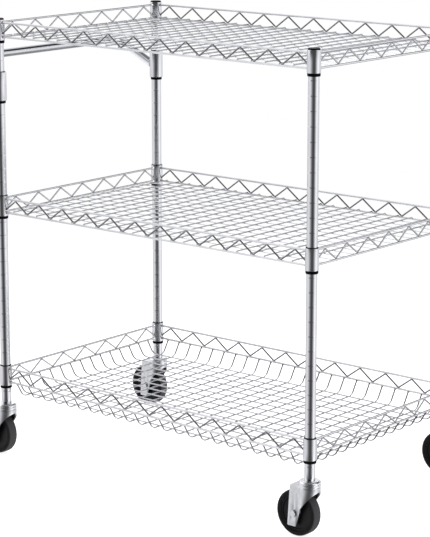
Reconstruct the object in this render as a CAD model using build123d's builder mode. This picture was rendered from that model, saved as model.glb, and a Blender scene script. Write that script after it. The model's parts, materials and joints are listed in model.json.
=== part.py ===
from build123d import *
import os
from math import cos, floor, radians, sin, sqrt, tan

# Rolling utility cart: three welded wire shelves on four round posts, a push handle and four swivel casters.
# Millimetres, +Z up. The origin is on the floor, under the middle of the cart's overall box. +X points
# away from the handle, -Y is the front.

# Posts
POST_SPACING_X = 733.0      # between post axes along the long side
POST_SPACING_Y = 439.0      # between post axes along the short side
POST_DIA = 19.05
POST_WALL = 1.4
GROOVE_PITCH = 25.4         # ring grooves, one inch apart
GROOVE_WIDTH = 2.4
GROOVE_DEPTH = 0.6
POST_END_LAND = 8.0         # plain tube left at each end of the grooves
FIT = 0.05                  # radial clearance of round pieces that slide or turn in each other

# Post caps
CAP_DIA = 20.4
CAP_FLANGE = 2.0
CAP_PLUG_LENGTH = 14.0

# Shelf levels
BASKET_SEAT = 30.8          # lower end of the basket's sleeves above the foot of the posts
SHELF_STEP_GROOVES = 13     # grooves from one shelf to the next
HANDLE_GROOVE = 22          # groove of the handle, counted from the one of the bottom basket

# Sleeves and collars that lock a shelf to the posts
SLEEVE_FOOT_DIA = 22.2
SLEEVE_HEAD_DIA = 21.4
SLEEVE_TAPER = 12.0         # height of the cone between foot and head, on which the collar jams
SLEEVE_LIP = 5.4            # shows below the collar
SLEEVE_HEAD_SHOW = 1.2      # shows above the collar
SLEEVE_BEAD = 19.6          # inner bead above the sleeve's foot
SLEEVE_SLIT = 4.0           # degrees between the two halves of a sleeve
COLLAR_DIA = 23.6
COLLAR_HEIGHT = 38.2

# Shelf rim: two straight wires with a zigzag truss wire welded between them
WIRE_SIDES = 8              # flat sides that stand for the round of a wire
RIM_WIRE = 4.0
RIM_LOW = 6.6               # low rim wire above the collar's lower end
RIM_SPAN = 26.3             # between the axes of the two rim wires
TRUSS_WIRE = 3.0
TRUSS_PEAKS_X = 12
TRUSS_PEAKS_Y = 7
TRUSS_END = 0.4             # share of a pitch between the last peak and the collar

# Shelf mesh
MESH_WIRE = 2.5
CROSS_WIRES = 23            # short wires, from front to back
CROSS_END = 0.8             # share of a pitch between the last short wire and the collar
CROSS_SHIFT = 0.22          # share of a pitch that the short wires sit nearer to the handle
LONG_WIRES = 14
LONG_END = 0.71             # share of a pitch between the last long wire and the collar
BASKET_DEPTH = 28.0         # basket floor below the low rim wire
BASKET_SLOPE = 31.0         # degrees that the basket wall leans in
BASKET_BEND = 16.0

# Push handle
HANDLE_COLLAR_DIA = 26.0
HANDLE_COLLAR_HEIGHT = 53.0
HANDLE_SLEEVE_BEAD = 29.8   # inner bead above the foot of the handle's sleeves
HANDLE_ARM_LOW = 20.5       # arm's axis above the collar's lower end, where it meets the post axis
HANDLE_TUBE = 16.0
HANDLE_TUBE_WALL = 1.2
HANDLE_REACH = 103.0        # crossbar axis out from the post axes
HANDLE_RISE = 25.6          # degrees
HANDLE_BEND = 34.0

# Caster wheel
WHEEL_DIA = 82.5
WHEEL_WIDTH = 21.0
TYRE_DEPTH = 8.0
TYRE_SHOULDER = 2.4
CORE_WIDTH = 16.0
RIM_INNER_DIA = 58.0        # edge of the dish in each face of the wheel body
WEB_WIDTH = 12.5
HUB_DIA = 18.0
HUB_PLAY = 0.4              # between the hub and each fork leg
AXLE_DIA = 6.0
AXLE_HEAD = 11.0            # across flats
AXLE_HEAD_HEIGHT = 3.6
NUT_HEIGHT = 4.0

# Caster fork
TRAIL = 23.0                # axle behind the swivel axis
FORK_SHEET = 2.3
FORK_WIDTH = 28.0           # over the legs
FORK_NOSE_DIA = 38.0
FORK_ROOF_GAP = 7.45        # above the wheel
FORK_TOP_EDGE = 2.2         # round that the bent sheet has about the roof
LEG_BELOW_AXLE = 22.8
LEG_AHEAD = 13.9            # leg tip ahead of the axle
LEG_TIP_WIDTH = 18.1
LEG_TIP_ROUND = 2.2
LEG_LEAN = 4.6              # leg's front edge leans back towards the roof
LEG_KNEE_X = 13.5           # knee of the rear edge, from the axle
LEG_KNEE_Z = 9.5
LEG_KNEE_BEND = 18.0
NOSE_SKIRT = 8.5            # depth of the nose below the roof's top

# Caster swivel
STEM_LENGTH = 26.0
KINGPIN_DIA = 12.0
RIVET_DIA = 18.0
RIVET_HEIGHT = 2.5
RACE_DIA = 38.4
LOWER_RACE_HEIGHT = 4.4
UPPER_RACE_HEIGHT = 6.05
UPPER_RACE_SHOULDER_DIA = 27.0
UPPER_RACE_EDGE = 3.3
RACE_GAP = 0.3

# Places that follow from the sizes above
MID_X = (HANDLE_REACH + HANDLE_TUBE / 2 - FORK_NOSE_DIA / 2) / 2     # middle of the posts
HALF_X = POST_SPACING_X / 2
HALF_Y = POST_SPACING_Y / 2
LEFT_X = MID_X - HALF_X
RIGHT_X = MID_X + HALF_X
LEFT_POSTS = {"front_left": (LEFT_X, -HALF_Y), "rear_left": (LEFT_X, HALF_Y)}
RIGHT_POSTS = {"front_right": (RIGHT_X, -HALF_Y), "rear_right": (RIGHT_X, HALF_Y)}
CORNERS = {**LEFT_POSTS, **RIGHT_POSTS}
SLEEVE_HEIGHT = SLEEVE_LIP + COLLAR_HEIGHT + SLEEVE_HEAD_SHOW
HANDLE_SLEEVE_HEIGHT = SLEEVE_LIP + HANDLE_COLLAR_HEIGHT + SLEEVE_HEAD_SHOW
AXLE_Z = WHEEL_DIA / 2
ROOF_UNDER = WHEEL_DIA + FORK_ROOF_GAP
ROOF_TOP = ROOF_UNDER + FORK_SHEET
LOWER_RACE_TOP = ROOF_TOP + LOWER_RACE_HEIGHT
UPPER_RACE_UNDER = LOWER_RACE_TOP + RACE_GAP
POST_BOTTOM = UPPER_RACE_UNDER + UPPER_RACE_HEIGHT
POST_BORE = POST_DIA - 2 * POST_WALL
SHELF_LEVELS = ["bottom_basket", "middle_shelf", "top_shelf"]
SHELF_STEP = SHELF_STEP_GROOVES * GROOVE_PITCH
SHELF_SEATS = [POST_BOTTOM + BASKET_SEAT + level * SHELF_STEP for level in range(len(SHELF_LEVELS))]
FIRST_GROOVE_Z = SHELF_SEATS[0] + SLEEVE_BEAD
HANDLE_SEAT_Z = FIRST_GROOVE_Z + HANDLE_GROOVE * GROOVE_PITCH - HANDLE_SLEEVE_BEAD
POST_TOP = SHELF_SEATS[-1] + SLEEVE_HEIGHT
PITCH_X = (POST_SPACING_X - COLLAR_DIA) / (TRUSS_PEAKS_X - 1 + 2 * TRUSS_END)
PITCH_Y = (POST_SPACING_Y - COLLAR_DIA) / (TRUSS_PEAKS_Y - 1 + 2 * TRUSS_END)
CROSS_PITCH = (POST_SPACING_X - COLLAR_DIA) / (CROSS_WIRES - 1 + 2 * CROSS_END)
LONG_PITCH = (POST_SPACING_Y - COLLAR_DIA) / (LONG_WIRES - 1 + 2 * LONG_END)

os.makedirs("parts", exist_ok=True)


def save(piece, name):
    piece.part.label = name
    export_step(piece.part, f"parts/{name}.step")


def upright(x, y, turn=0.0):
    """Vertical plane through a post axis: local x runs out from the axis, local y is the height."""
    angle = radians(turn)
    return Plane(origin=(x, y, 0), x_dir=(cos(angle), sin(angle), 0), z_dir=(sin(angle), -cos(angle), 0))


def front_plane(y):
    """Plane facing the front: local x is measured along the long side from the middle of the posts."""
    return Plane(origin=(MID_X, y, 0), x_dir=(1, 0, 0), z_dir=(0, -1, 0))


def side_plane(x):
    """Plane facing the right end: local x is measured along the short side."""
    return Plane(origin=(x, 0, 0), x_dir=(0, 1, 0), z_dir=(1, 0, 0))


def post_axis(x, y):
    return Axis((x, y, 0), (0, 0, 1))


def row(count, pitch, shift=0.0):
    """Places of a row of copies about zero, shifted back by a share of their pitch."""
    return [(index - (count - 1) / 2 - shift) * pitch for index in range(count)]


def groove_heights():
    """Heights of the post grooves, in step with the one that holds the bottom basket."""
    below = floor((FIRST_GROOVE_Z - POST_BOTTOM - POST_END_LAND) / GROOVE_PITCH)
    above = floor((POST_TOP - POST_END_LAND - FIRST_GROOVE_Z) / GROOVE_PITCH)
    return [FIRST_GROOVE_Z + step * GROOVE_PITCH for step in range(-below, above + 1)]


def notch(radius, z, depth, width):
    """Outline points of a ring groove, or of the bead that sits in it, from its lower edge to its upper."""
    return [(radius, z - width / 2), (radius - depth, z), (radius, z + width / 2)]


# Posts: straight chromed tubes with ring grooves
for corner, (x, y) in CORNERS.items():
    outline = [(POST_BORE / 2, POST_BOTTOM), (POST_DIA / 2, POST_BOTTOM)]
    for z in groove_heights():
        outline += notch(POST_DIA / 2, z, GROOVE_DEPTH, GROOVE_WIDTH)
    outline += [(POST_DIA / 2, POST_TOP), (POST_BORE / 2, POST_TOP)]
    with BuildPart() as post:
        with BuildSketch(upright(x, y)):
            with BuildLine():
                Polyline(*outline, close=True)
            make_face()
        revolve(axis=post_axis(x, y))
    save(post, f"post_{corner}")

# Post caps: moulded discs with a plug that fills the top of the tube
with BuildPart() as post_caps:
    for x, y in CORNERS.values():
        with BuildSketch(Plane(origin=(x, y, POST_TOP))):
            Circle(CAP_DIA / 2)
        extrude(amount=CAP_FLANGE)
        with BuildSketch(Plane(origin=(x, y, POST_TOP))):
            Circle(POST_BORE / 2 - FIT)
        extrude(amount=-CAP_PLUG_LENGTH)
save(post_caps, "post_caps")


def split_sleeves(places, seat, height, bead):
    """Sleeves in two halves with a cone outside, whose inner beads clip into a groove of the posts."""
    bore = POST_DIA / 2 + FIT
    cone = seat + SLEEVE_LIP
    outline = [(bore, seat)]
    outline += notch(bore, seat + bead, GROOVE_DEPTH, GROOVE_WIDTH)
    outline += [(bore, seat + height), (SLEEVE_HEAD_DIA / 2, seat + height)]
    outline += [(SLEEVE_HEAD_DIA / 2, cone + SLEEVE_TAPER), (SLEEVE_FOOT_DIA / 2, cone)]
    outline += [(SLEEVE_FOOT_DIA / 2, seat)]
    with BuildPart() as sleeves:
        for x, y in places:
            for half in range(2):
                with BuildSketch(upright(x, y, 180 * half + SLEEVE_SLIT / 2)):
                    with BuildLine():
                        Polyline(*outline, close=True)
                    make_face()
                revolve(axis=post_axis(x, y), revolution_arc=180 - SLEEVE_SLIT)
    return sleeves


def collars(places, seat, diameter, height):
    """Collars that jam on the cone of the sleeves, with a straight bore above it."""
    foot_bore = SLEEVE_FOOT_DIA / 2 + FIT
    head_bore = SLEEVE_HEAD_DIA / 2 + FIT
    bottom = seat + SLEEVE_LIP
    with BuildPart() as rings:
        for x, y in places:
            with BuildSketch(upright(x, y)):
                with BuildLine():
                    Polyline(
                        (foot_bore, bottom),
                        (diameter / 2, bottom),
                        (diameter / 2, bottom + height),
                        (head_bore, bottom + height),
                        (head_bore, bottom + SLEEVE_TAPER),
                        close=True,
                    )
                make_face()
            revolve(axis=post_axis(x, y))
    return rings


def collar_room(low, high):
    """Round room of the corner collars, to which the wire ends are cut."""
    with BuildPart() as room:
        with BuildSketch(Plane.XY.offset(low)):
            with Locations(*CORNERS.values()):
                Circle(COLLAR_DIA / 2 + FIT)
        extrude(amount=high - low)
    return room.part


def wire_section(diameter):
    """Section of a wire in the current sketch, with flats that its neighbours are welded to."""
    RegularPolygon(diameter / 2, WIRE_SIDES, major_radius=False, rotation=180 / WIRE_SIDES)


def rim_wires(low_z):
    """Four straight wires at the low level of a rim and four at the high level."""
    levels = [low_z, low_z + RIM_SPAN]
    room = collar_room(low_z - RIM_WIRE, low_z + RIM_SPAN + RIM_WIRE)
    with BuildPart() as wires:
        with BuildSketch(side_plane(LEFT_X)):
            with Locations(*[(side * HALF_Y, level) for side in (-1, 1) for level in levels]):
                wire_section(RIM_WIRE)
        extrude(amount=POST_SPACING_X)
        with BuildSketch(front_plane(HALF_Y)):
            with Locations(*[(side * HALF_X, level) for side in (-1, 1) for level in levels]):
                wire_section(RIM_WIRE)
        extrude(amount=POST_SPACING_Y)
        add(room, mode=Mode.SUBTRACT)
    return wires


def truss_points(peaks, pitch, low_z):
    """Zigzag whose mitred corners just meet the two rim wires."""
    clear = RIM_SPAN - RIM_WIRE
    share = 1 - (2 * TRUSS_WIRE / pitch) ** 2
    rise = (clear - sqrt(clear**2 - share * (clear**2 - TRUSS_WIRE**2))) / share
    middle = low_z + RIM_SPAN / 2
    steps = range(-peaks, peaks + 1)
    return [(step * pitch / 2, middle + (rise / 2 if (step + peaks) % 2 else -rise / 2)) for step in steps]


def bent_wire(plane, path_points, diameter, bend=None):
    """One wire along a path in a plane, with round bends, or mitred where no bend is given."""
    with BuildPart() as wire:
        with BuildLine(plane) as path:
            if bend:
                FilletPolyline(*path_points, radius=bend)
            else:
                Polyline(*path_points)
        with BuildSketch(Plane(origin=path.line @ 0, x_dir=plane.z_dir, z_dir=path.line % 0)):
            wire_section(diameter)
        sweep(path=path.line, transition=Transition.RIGHT)
    return wire.part


def truss_wires(low_z):
    """One zigzag wire on each side of a shelf, bent from a single length."""
    long_wire = bent_wire(front_plane(0), truss_points(TRUSS_PEAKS_X, PITCH_X, low_z), TRUSS_WIRE)
    short_wire = bent_wire(side_plane(0), truss_points(TRUSS_PEAKS_Y, PITCH_Y, low_z), TRUSS_WIRE)
    room = collar_room(low_z, low_z + RIM_SPAN)
    with BuildPart() as wires:
        with Locations((0, -HALF_Y, 0), (0, HALF_Y, 0)):
            add(long_wire)
        with Locations((LEFT_X, 0, 0), (RIGHT_X, 0, 0)):
            add(short_wire)
        add(room, mode=Mode.SUBTRACT)
    return wires


def flat_cross_wires(low_z):
    """Short mesh wires, laid over the low rim wires of the long sides."""
    level = low_z + RIM_WIRE / 2 + MESH_WIRE / 2
    with BuildPart() as wires:
        with BuildSketch(front_plane(HALF_Y)):
            with Locations(*[(place, level) for place in row(CROSS_WIRES, CROSS_PITCH, CROSS_SHIFT)]):
                wire_section(MESH_WIRE)
        extrude(amount=POST_SPACING_Y)
    return wires


def flat_long_wires(low_z):
    """Long mesh wires under the short ones, butted against the low rim wires of the short sides."""
    level = low_z + RIM_WIRE / 2 - MESH_WIRE / 2
    with BuildPart() as wires:
        with BuildSketch(side_plane(LEFT_X + RIM_WIRE / 2)):
            with Locations(*[(place, level) for place in row(LONG_WIRES, LONG_PITCH)]):
                wire_section(MESH_WIRE)
        extrude(amount=POST_SPACING_X - RIM_WIRE)
    return wires


def basket_wires(plane, places, half_span, rim_z, floor_z):
    """Mesh wires that hang from the low rim wire, lean in and bend into the basket floor."""
    lean = (rim_z - floor_z) * tan(radians(BASKET_SLOPE))
    corners = [
        (-half_span, rim_z),
        (-half_span + lean, floor_z),
        (half_span - lean, floor_z),
        (half_span, rim_z),
    ]
    wire = bent_wire(plane, corners, MESH_WIRE, BASKET_BEND)
    with BuildPart() as wires:
        with Locations(*places):
            add(wire)
        split(bisect_by=Plane.XY.offset(rim_z - RIM_WIRE / 2), keep=Keep.BOTTOM)
    return wires


# Shelves: two flat ones over a basket, each a weldment of collars, rim, truss and mesh wires
for level, seat in zip(SHELF_LEVELS, SHELF_SEATS):
    rim_z = seat + SLEEVE_LIP + RIM_LOW
    save(split_sleeves(CORNERS.values(), seat, SLEEVE_HEIGHT, SLEEVE_BEAD), f"{level}_sleeves")
    save(collars(CORNERS.values(), seat, COLLAR_DIA, COLLAR_HEIGHT), f"{level}_collars")
    save(rim_wires(rim_z), f"{level}_rim_wires")
    save(truss_wires(rim_z), f"{level}_truss_wires")
    if level == "bottom_basket":
        cross_places = [(place, 0, 0) for place in row(CROSS_WIRES, CROSS_PITCH, CROSS_SHIFT)]
        long_places = [(0, place, 0) for place in row(LONG_WIRES, LONG_PITCH)]
        cross_floor = rim_z - BASKET_DEPTH
        long_floor = cross_floor + MESH_WIRE
        save(basket_wires(side_plane(MID_X), cross_places, HALF_Y, rim_z, cross_floor), f"{level}_cross_wires")
        save(basket_wires(front_plane(0), long_places, HALF_X, rim_z, long_floor), f"{level}_long_wires")
    else:
        save(flat_cross_wires(rim_z), f"{level}_cross_wires")
        save(flat_long_wires(rim_z), f"{level}_long_wires")

# Push handle: a bent tube welded to two tall collars on the left posts
HANDLE_ARM_Z = HANDLE_SEAT_Z + SLEEVE_LIP + HANDLE_ARM_LOW
BAR_X = LEFT_X - HANDLE_REACH
BAR_Z = HANDLE_ARM_Z + HANDLE_REACH * tan(radians(HANDLE_RISE))
ARM_DIRECTION = (-cos(radians(HANDLE_RISE)), 0, sin(radians(HANDLE_RISE)))
with BuildPart() as handle_bar:
    with BuildLine() as handle_path:
        FilletPolyline(
            (LEFT_X, -HALF_Y, HANDLE_ARM_Z),
            (BAR_X, -HALF_Y, BAR_Z),
            (BAR_X, HALF_Y, BAR_Z),
            (LEFT_X, HALF_Y, HANDLE_ARM_Z),
            radius=HANDLE_BEND,
        )
    with BuildSketch(Plane(origin=(LEFT_X, -HALF_Y, HANDLE_ARM_Z), z_dir=ARM_DIRECTION)):
        Circle(HANDLE_TUBE / 2)
        Circle(HANDLE_TUBE / 2 - HANDLE_TUBE_WALL, mode=Mode.SUBTRACT)
    sweep(path=handle_path.line)
    with BuildSketch(Plane.XY.offset(HANDLE_SEAT_Z)):
        with Locations(*LEFT_POSTS.values()):
            Circle(HANDLE_COLLAR_DIA / 2 + FIT)
    extrude(amount=HANDLE_SLEEVE_HEIGHT, mode=Mode.SUBTRACT)
save(handle_bar, "handle_bar")

handle_sleeves = split_sleeves(LEFT_POSTS.values(), HANDLE_SEAT_Z, HANDLE_SLEEVE_HEIGHT, HANDLE_SLEEVE_BEAD)
save(handle_sleeves, "handle_sleeves")
save(collars(LEFT_POSTS.values(), HANDLE_SEAT_Z, HANDLE_COLLAR_DIA, HANDLE_COLLAR_HEIGHT), "handle_collars")


def caster_stem(x, y):
    """Stem pushed into the post, with the upper race that the post stands on and the kingpin below it."""
    head_top = ROOF_UNDER - RACE_GAP
    with BuildPart() as stem:
        with BuildSketch(upright(x, y)):
            with BuildLine():
                Polyline(
                    (0, POST_BOTTOM + STEM_LENGTH),
                    (POST_BORE / 2 - FIT, POST_BOTTOM + STEM_LENGTH),
                    (POST_BORE / 2 - FIT, POST_BOTTOM),
                    (UPPER_RACE_SHOULDER_DIA / 2, POST_BOTTOM),
                    (RACE_DIA / 2, UPPER_RACE_UNDER + UPPER_RACE_EDGE),
                    (RACE_DIA / 2, UPPER_RACE_UNDER),
                    (KINGPIN_DIA / 2, UPPER_RACE_UNDER),
                    (KINGPIN_DIA / 2, head_top),
                    (RIVET_DIA / 2, head_top),
                    (RIVET_DIA / 2, head_top - RIVET_HEIGHT),
                    (0, head_top - RIVET_HEIGHT),
                    close=True,
                )
            make_face()
        revolve(axis=post_axis(x, y))
    return stem


def caster_lower_race(x, y):
    """Ring on the fork's roof that turns under the upper race."""
    with BuildPart() as race:
        with BuildSketch(Plane(origin=(x, y, ROOF_TOP))):
            Circle(RACE_DIA / 2)
            Circle(KINGPIN_DIA / 2 + FIT, mode=Mode.SUBTRACT)
        extrude(amount=LOWER_RACE_HEIGHT)
    return race


def fork_plan(inset):
    """Outline of the fork from above: a round nose on the swivel axis and two straight legs behind it."""
    tail = TRAIL + LEG_AHEAD + FORK_SHEET
    Circle(FORK_NOSE_DIA / 2 - inset)
    with Locations((-tail / 2, 0)):
        Rectangle(tail, FORK_WIDTH - 2 * inset)


def caster_fork(x, y):
    """Stamped fork: roof, two flat legs and a rounded nose, from one thickness of sheet."""
    tip_z = AXLE_Z - LEG_BELOW_AXLE
    tip_x = x - TRAIL - LEG_AHEAD
    knee_x = x - TRAIL + LEG_KNEE_X
    nose_x = x + FORK_NOSE_DIA / 2
    with BuildPart() as fork:
        with BuildSketch(Plane(origin=(x, y, tip_z))):
            fork_plan(0)
        extrude(amount=ROOF_TOP - tip_z)
        fillet(fork.faces().sort_by(Axis.Z)[-1].edges(), FORK_TOP_EDGE)
        with BuildSketch(Plane(origin=(x, y, tip_z))):
            fork_plan(FORK_SHEET)
        extrude(amount=ROOF_UNDER - tip_z, mode=Mode.SUBTRACT)
        with BuildSketch(Plane.XZ.offset(-y)) as side:
            with BuildLine():
                knee = FilletPolyline(
                    (tip_x + LEG_TIP_WIDTH, tip_z),
                    (knee_x, AXLE_Z + LEG_KNEE_Z),
                    (nose_x, ROOF_TOP - NOSE_SKIRT),
                    radius=LEG_KNEE_BEND,
                )
                Polyline(
                    knee @ 1, (nose_x, ROOF_TOP), (tip_x + LEG_LEAN, ROOF_TOP), (tip_x, tip_z), knee @ 0
                )
            make_face()
            fillet(side.vertices().sort_by(Axis.Y)[:2], LEG_TIP_ROUND)
        extrude(amount=FORK_NOSE_DIA / 2, both=True, mode=Mode.INTERSECT)
        with BuildSketch(Plane(origin=(x, y, ROOF_UNDER))):
            Circle(KINGPIN_DIA / 2 + FIT)
        extrude(amount=FORK_SHEET, mode=Mode.SUBTRACT)
        with BuildSketch(Plane.XZ.offset(-y)):
            with Locations((x - TRAIL, AXLE_Z)):
                Circle(AXLE_DIA / 2 + FIT)
        extrude(amount=FORK_WIDTH / 2, both=True, mode=Mode.SUBTRACT)
    return fork


def axle_plane(x, y, out):
    """Plane across the axle, looking along +Y, at a distance out from the middle of the wheel."""
    return Plane(origin=(x - TRAIL, y + out, AXLE_Z), x_dir=(1, 0, 0), z_dir=(0, 1, 0))


def axle_bolt(x, y):
    """Hexagon bolt through both fork legs, with its head at the front."""
    leg_face = FORK_WIDTH / 2
    with BuildPart() as bolt:
        with BuildSketch(axle_plane(x, y, -leg_face - AXLE_HEAD_HEIGHT)):
            RegularPolygon(AXLE_HEAD / 2, 6, major_radius=False)
        extrude(amount=AXLE_HEAD_HEIGHT)
        with BuildSketch(axle_plane(x, y, -leg_face)):
            Circle(AXLE_DIA / 2)
        extrude(amount=FORK_WIDTH + NUT_HEIGHT)
    return bolt


def axle_nut(x, y):
    """Hexagon nut on the far end of the axle bolt."""
    with BuildPart() as nut:
        with BuildSketch(axle_plane(x, y, FORK_WIDTH / 2)):
            RegularPolygon(AXLE_HEAD / 2, 6, major_radius=False)
            Circle(AXLE_DIA / 2 + FIT, mode=Mode.SUBTRACT)
        extrude(amount=NUT_HEIGHT)
    return nut


def wheel_profile_plane(x, y):
    """Plane through the axle: local x runs along the axle, local y is the radius."""
    return Plane(origin=(x - TRAIL, y, AXLE_Z), x_dir=(0, 1, 0), z_dir=(1, 0, 0))


def wheel_axis(x, y):
    return Axis((x - TRAIL, y, AXLE_Z), (0, 1, 0))


def wheel_core(x, y):
    """Moulded wheel body: a hub that runs on the bolt, a dished web and a rim that carries the tyre."""
    rim_radius = WHEEL_DIA / 2 - TYRE_DEPTH - FIT
    hub_half = FORK_WIDTH / 2 - FORK_SHEET - HUB_PLAY
    bore = AXLE_DIA / 2 + FIT
    with BuildPart() as core:
        with BuildSketch(wheel_profile_plane(x, y)):
            with BuildLine():
                Polyline(
                    (-hub_half, bore),
                    (-hub_half, HUB_DIA / 2),
                    (-WEB_WIDTH / 2, HUB_DIA / 2),
                    (-WEB_WIDTH / 2, RIM_INNER_DIA / 2),
                    (-CORE_WIDTH / 2, RIM_INNER_DIA / 2),
                    (-CORE_WIDTH / 2, rim_radius),
                    (CORE_WIDTH / 2, rim_radius),
                    (CORE_WIDTH / 2, RIM_INNER_DIA / 2),
                    (WEB_WIDTH / 2, RIM_INNER_DIA / 2),
                    (WEB_WIDTH / 2, HUB_DIA / 2),
                    (hub_half, HUB_DIA / 2),
                    (hub_half, bore),
                    close=True,
                )
            make_face()
        revolve(axis=wheel_axis(x, y))
    return core


def tyre(x, y):
    """Solid tyre with bevelled shoulders."""
    radius = WHEEL_DIA / 2
    half = WHEEL_WIDTH / 2
    with BuildPart() as ring:
        with BuildSketch(wheel_profile_plane(x, y)):
            with BuildLine():
                Polyline(
                    (-half, radius - TYRE_DEPTH),
                    (-half, radius - TYRE_SHOULDER),
                    (-half + TYRE_SHOULDER, radius),
                    (half - TYRE_SHOULDER, radius),
                    (half, radius - TYRE_SHOULDER),
                    (half, radius - TYRE_DEPTH),
                    close=True,
                )
            make_face()
        revolve(axis=wheel_axis(x, y))
    return ring


# Casters: four alike, with their wheels trailing towards the handle
for corner, (x, y) in CORNERS.items():
    save(caster_stem(x, y), f"{corner}_caster_stem")
    save(caster_lower_race(x, y), f"{corner}_caster_lower_race")
    save(caster_fork(x, y), f"{corner}_caster_fork")
    save(axle_bolt(x, y), f"{corner}_caster_axle_bolt")
    save(axle_nut(x, y), f"{corner}_caster_axle_nut")
    save(wheel_core(x, y), f"{corner}_caster_wheel_core")
    save(tyre(x, y), f"{corner}_caster_tyre")
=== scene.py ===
import json
import math

import bmesh
import bpy
from mathutils import Matrix, Vector


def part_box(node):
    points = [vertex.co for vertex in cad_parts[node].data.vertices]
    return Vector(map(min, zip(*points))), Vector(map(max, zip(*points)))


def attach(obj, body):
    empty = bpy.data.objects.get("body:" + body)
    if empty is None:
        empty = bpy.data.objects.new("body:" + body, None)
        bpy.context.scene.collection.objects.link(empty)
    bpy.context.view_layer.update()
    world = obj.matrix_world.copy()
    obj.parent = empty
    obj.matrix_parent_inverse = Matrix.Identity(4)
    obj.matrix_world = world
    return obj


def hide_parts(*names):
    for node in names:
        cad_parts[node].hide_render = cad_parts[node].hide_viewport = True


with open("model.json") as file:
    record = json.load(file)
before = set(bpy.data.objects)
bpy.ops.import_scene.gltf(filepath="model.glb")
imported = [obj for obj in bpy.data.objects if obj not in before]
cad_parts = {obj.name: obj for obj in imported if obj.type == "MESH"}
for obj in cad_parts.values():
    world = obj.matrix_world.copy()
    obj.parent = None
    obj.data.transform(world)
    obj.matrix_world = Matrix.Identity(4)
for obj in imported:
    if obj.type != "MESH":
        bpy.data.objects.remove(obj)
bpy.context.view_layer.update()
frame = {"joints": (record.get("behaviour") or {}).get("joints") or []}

# Posts: four straight tubes of chromed steel, three quarters of an inch across. A ring groove is rolled
# into the wall at every inch of height, and the shelves lock on at any of these grooves.
# Sizes in this file are in millimetres, and a mesh is brought to metres when it is finished.
MM = 0.001
POST_RADIUS = 9.525
POST_BORE = 8.125
POST_EDGE = 0.4
GROOVE_PITCH = 25.4
GROOVE_HALF_WIDTH = 1.2
GROOVE_DEPTH = 0.18
GROOVE_LIP_ROUND = 1.2
GROOVE_FLOOR_ROUND = 0.9
POST_END_LAND = 8.0
SLEEVE_BEAD = 19.6           # bead of a shelf's sleeve above its foot, which sits in a groove
SAME_POINT = 0.002           # corners of a mesh that are nearer than this become one
CHROME_SHADE = (0.75, 0.755, 0.775, 1.0)
CHROME_LIGHT = (0.82, 0.82, 0.84, 1.0)


def node_box(node):
    """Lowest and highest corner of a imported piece, in millimetres."""
    low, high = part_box(node)
    return low / MM, high / MM


def rounded(corners, closed, steps=4):
    """Line through corners, each a point with the radius that rounds it off."""
    line = []
    for place, (corner, radius) in enumerate(corners):
        if radius == 0 or (not closed and place in (0, len(corners) - 1)):
            line.append(corner)
            continue
        back = (corners[place - 1][0] - corner).normalized()
        ahead = (corners[(place + 1) % len(corners)][0] - corner).normalized()
        half_angle = back.angle(ahead) / 2
        trim = radius / math.tan(half_angle)
        centre = corner + (back + ahead).normalized() * radius / math.sin(half_angle)
        spoke = corner + back * trim - centre
        axis = spoke.cross(corner + ahead * trim - centre)
        turn = math.pi - 2 * half_angle
        for step in range(steps + 1):
            line.append(centre + Matrix.Rotation(turn * step / steps, 3, axis) @ spoke)
    return line


def outline(*corners, steps=4):
    """Closed outline for turning, from corners given as radius, height and rounding."""
    points = [(Vector((radius, 0, height)), edge) for radius, height, edge in corners]
    return rounded(points, True, steps)


def skin(shape, sections, comes_round):
    """Skins a row of closed sections; a row that doesn't come round gets flat ends."""
    rings = [[shape.verts.new(point) for point in section] for section in sections]
    following = rings[1:] + rings[:1] if comes_round else rings[1:]
    for ring, after in zip(rings, following):
        for place in range(len(ring)):
            shape.faces.new((ring[place - 1], ring[place], after[place], after[place - 1]))
    if not comes_round:
        shape.faces.new(rings[0])
        shape.faces.new(rings[-1])


def turn(shape, profile, lay=Matrix(), segments=48, first=0.0, sweep=math.tau):
    """Turns an outline about the Z axis, all round or through a part of a turn, and lays it in place."""
    whole = sweep == math.tau
    sections = []
    for index in range(segments if whole else segments + 1):
        spin = lay @ Matrix.Rotation(first + sweep * index / segments, 4, "Z")
        sections.append([spin @ point for point in profile])
    skin(shape, sections, whole)


def finished(shape, name, finish, crease=35):
    """Ends a shape as a smooth mesh in metres, with an edge where faces turn by more than the crease."""
    bmesh.ops.remove_doubles(shape, verts=shape.verts, dist=SAME_POINT)
    bmesh.ops.recalc_face_normals(shape, faces=shape.faces)
    mesh = bpy.data.meshes.new(name)
    shape.to_mesh(mesh)
    shape.free()
    mesh.transform(Matrix.Scale(MM, 4))
    mesh.shade_smooth()
    mesh.set_sharp_from_angle(angle=math.radians(crease))
    mesh.materials.append(finish)
    return mesh


def fit(mesh, node, body, place=(0, 0, 0)):
    """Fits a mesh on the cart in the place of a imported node, to move with that node's body."""
    piece = bpy.data.objects.new(f"{node}_finished", mesh)
    bpy.context.scene.collection.objects.link(piece)
    piece.location = Vector(place) * MM
    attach(piece, body)
    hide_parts(node)
    return piece


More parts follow.
